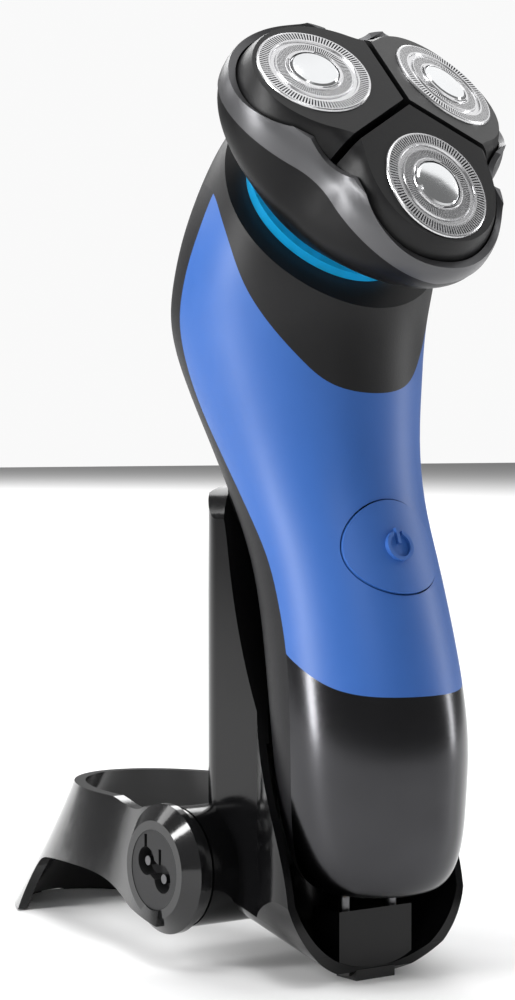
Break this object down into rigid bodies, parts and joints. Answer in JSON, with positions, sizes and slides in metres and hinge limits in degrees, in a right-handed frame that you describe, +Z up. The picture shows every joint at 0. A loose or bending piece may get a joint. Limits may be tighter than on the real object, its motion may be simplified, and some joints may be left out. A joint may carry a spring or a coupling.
{
  "type": "electric rotary shaver with folding charging stand",
  "caption": "Cordless rotary shaver with a blue and black handle and a tilted round head, seated in a black folding charging stand.",
  "frame": {"origin": "centre of the bounding box in plan, at the resting plane under the stand", "axes": "+Z up, -Y towards the shaver's front, +X to the shaver's left-right axis, seen from the front to the right"},
  "size_m": [0.06, 0.1382, 0.1764],
  "materials": {
    "blue_cover": "satin blue injection moulding",
    "blue_button": "satin blue, raised symbol",
    "black_soft": "soft matte black",
    "metallic_black": "satin dark metallic",
    "collar_black": "matte black",
    "inner_black": "plain moulding",
    "cyan_ring": "translucent cyan blue",
    "switch_metal": "stamped",
    "pcb_green": "solder mask",
    "chip_black": "moulded package",
    "cell_wrap": "shrink sleeve",
    "contact_metal": "plated",
    "motor_steel": "drawn steel can",
    "gear_white": "acetal",
    "bowl_black": "satin black",
    "grey_trim": "satin grey",
    "screw_steel": "zinc plated",
    "pod_black": "fine satin black",
    "foil_steel": "slotted and brushed",
    "polished_cap": "mirror polished dome",
    "cutter_steel": "ground",
    "stand_black": "gloss black moulding",
    "pin_steel": "ground rod",
    "leg_black": "gloss black moulding",
    "inlet_black": "satin insert",
    "pad_rubber": "matte rubber"
  },
  "bodies": {
    "stand": {"cradle_shell": "stand_black", "stand_board": "pcb_green", "stand_components": "chip_black", "contact_block": "inner_black", "barrel_bushes": "inner_black", "hinge_pin": "pin_steel", "toe_pad": "pad_rubber"},
    "leg": {"base_leg": "leg_black", "inlet_insert": "inlet_black", "inlet_pins": "contact_metal", "leg_pads": "pad_rubber"},
    "charge_pin_l": {"charge_pin_left": "contact_metal"},
    "charge_pin_r": {"charge_pin_right": "contact_metal"},
    "handle": {"front_cover": "blue_cover", "rear_cover": "black_soft", "lower_cover": "metallic_black", "neck_collar": "collar_black", "neck_deck": "collar_black", "head_socket": "inner_black", "accent_ring": "cyan_ring", "tact_switch": "switch_metal", "main_board": "pcb_green", "board_components": "chip_black", "battery_cell": "cell_wrap", "cell_cap": "contact_metal", "cell_cradle": "inner_black", "motor_can": "motor_steel", "motor_end_bell": "inner_black", "motor_mount": "inner_black", "charge_pads": "contact_metal"},
    "button": {"power_button": "blue_button"},
    "drive": {"drive_dog": "gear_white"},
    "head_mount": {"head_plug": "inner_black"},
    "gimbal": {"gimbal_ring": "inner_black"},
    "head": {"head_bowl": "bowl_black", "trim_band": "grey_trim", "gear_plate": "inner_black", "gear_cover": "inner_black", "gear_cover_screws": "screw_steel"},
    "centre_gear_b": {"centre_gear": "gear_white"},
    "pod_front_b": {"pod_front": "pod_black", "foil_front": "foil_steel", "cap_front": "polished_cap", "keeper_front": "inner_black"},
    "gear_front_b": {"spindle_gear_front": "gear_white"},
    "cutter_front_b": {"cutter_front": "cutter_steel"},
    "pod_right_b": {"pod_right": "pod_black", "foil_right": "foil_steel", "cap_right": "polished_cap", "keeper_right": "inner_black"},
    "gear_right_b": {"spindle_gear_right": "gear_white"},
    "cutter_right_b": {"cutter_right": "cutter_steel"},
    "pod_left_b": {"pod_left": "pod_black", "foil_left": "foil_steel", "cap_left": "polished_cap", "keeper_left": "inner_black"},
    "gear_left_b": {"spindle_gear_left": "gear_white"},
    "cutter_left_b": {"cutter_left": "cutter_steel"}
  },
  "joints": [
    {"name": "leg_fold", "type": "hinge", "parent": "stand", "child": "leg", "pos_m": [0, -0.015, 0.0185], "axis": [1, 0, 0], "range_deg": [0, 70]},
    {"name": "charge_pin_left_press", "type": "slide", "parent": "stand", "child": "charge_pin_l", "axis": [0, 0, -1], "range_m": [0, 0.0008], "stiffness_N_per_m": 250, "springref_m": -0.0004},
    {"name": "charge_pin_right_press", "type": "slide", "parent": "stand", "child": "charge_pin_r", "axis": [0, 0, -1], "range_m": [0, 0.0008], "stiffness_N_per_m": 250, "springref_m": -0.0004},
    {"name": "lift_out", "type": "slide", "parent": "stand", "child": "handle", "axis": [0, 0, 1], "range_m": [0, 0.08]},
    {"name": "button_press", "type": "slide", "parent": "handle", "child": "button", "axis": [0, 0.9349, -0.355], "range_m": [0, 0.0006], "stiffness_N_per_m": 1500, "springref_m": -0.0002},
    {"name": "motor_spin", "type": "hinge", "parent": "handle", "child": "drive", "pos_m": [0, -0.02984, 0.14053], "axis": [0, -0.788, 0.6157], "continuous": true},
    {"name": "head_pull_off", "type": "slide", "parent": "handle", "child": "head_mount", "axis": [0, -0.788, 0.6157], "range_m": [0, 0.03]},
    {"name": "head_pitch", "type": "hinge", "parent": "head_mount", "child": "gimbal", "pos_m": [0, -0.03669, 0.14589], "axis": [1, 0, 0], "range_deg": [-4, 4], "stiffness_Nm_per_rad": 1.2},
    {"name": "head_roll", "type": "hinge", "parent": "gimbal", "child": "head", "pos_m": [0, -0.03669, 0.14589], "axis": [0, -0.6157, -0.788], "range_deg": [-4, 4], "stiffness_Nm_per_rad": 1.2},
    {"name": "centre_gear_spin", "type": "hinge", "parent": "head", "child": "centre_gear_b", "pos_m": [0, -0.04402, 0.15161], "axis": [0, -0.788, 0.6157], "continuous": true},
    {"name": "spindle_front_spin", "type": "hinge", "parent": "head", "child": "gear_front_b", "pos_m": [0, -0.05418, 0.13861], "axis": [0, -0.788, 0.6157], "continuous": true},
    {"name": "pod_front_float", "type": "hinge", "parent": "head", "child": "pod_front_b", "pos_m": [0, -0.05931, 0.14261], "axis": [1, 0, 0], "range_deg": [-3, 3], "stiffness_Nm_per_rad": 0.25},
    {"name": "cutter_front_spin", "type": "hinge", "parent": "pod_front_b", "child": "cutter_front_b", "pos_m": [0, -0.05931, 0.14261], "axis": [0, -0.8934, 0.4493], "continuous": true},
    {"name": "spindle_right_spin", "type": "hinge", "parent": "head", "child": "gear_right_b", "pos_m": [0.01429, -0.03895, 0.15811], "axis": [0, -0.788, 0.6157], "continuous": true},
    {"name": "pod_right_float", "type": "hinge", "parent": "head", "child": "pod_right_b", "pos_m": [0.01429, -0.04407, 0.16212], "axis": [-0.5, 0.5332, 0.6824], "range_deg": [-3, 3], "stiffness_Nm_per_rad": 0.25},
    {"name": "cutter_right_spin", "type": "hinge", "parent": "pod_right_b", "child": "cutter_right_b", "pos_m": [0.01429, -0.04407, 0.16212], "axis": [0.1697, -0.7124, 0.6809], "continuous": true},
    {"name": "spindle_left_spin", "type": "hinge", "parent": "head", "child": "gear_left_b", "pos_m": [-0.01429, -0.03895, 0.15811], "axis": [0, -0.788, 0.6157], "continuous": true},
    {"name": "pod_left_float", "type": "hinge", "parent": "head", "child": "pod_left_b", "pos_m": [-0.01429, -0.04407, 0.16212], "axis": [-0.5, -0.5332, -0.6824], "range_deg": [-3, 3], "stiffness_Nm_per_rad": 0.25},
    {"name": "cutter_left_spin", "type": "hinge", "parent": "pod_left_b", "child": "cutter_left_b", "pos_m": [-0.01429, -0.04407, 0.16212], "axis": [-0.1697, -0.7124, 0.6809], "continuous": true}
  ],
  "couplings": [
    {"joint": "centre_gear_spin", "follows": "motor_spin", "ratio": 1},
    {"joint": "spindle_front_spin", "follows": "motor_spin", "ratio": -0.65},
    {"joint": "cutter_front_spin", "follows": "motor_spin", "ratio": -0.65},
    {"joint": "spindle_right_spin", "follows": "motor_spin", "ratio": -0.65},
    {"joint": "cutter_right_spin", "follows": "motor_spin", "ratio": -0.65},
    {"joint": "spindle_left_spin", "follows": "motor_spin", "ratio": -0.65},
    {"joint": "cutter_left_spin", "follows": "motor_spin", "ratio": -0.65}
  ]
}
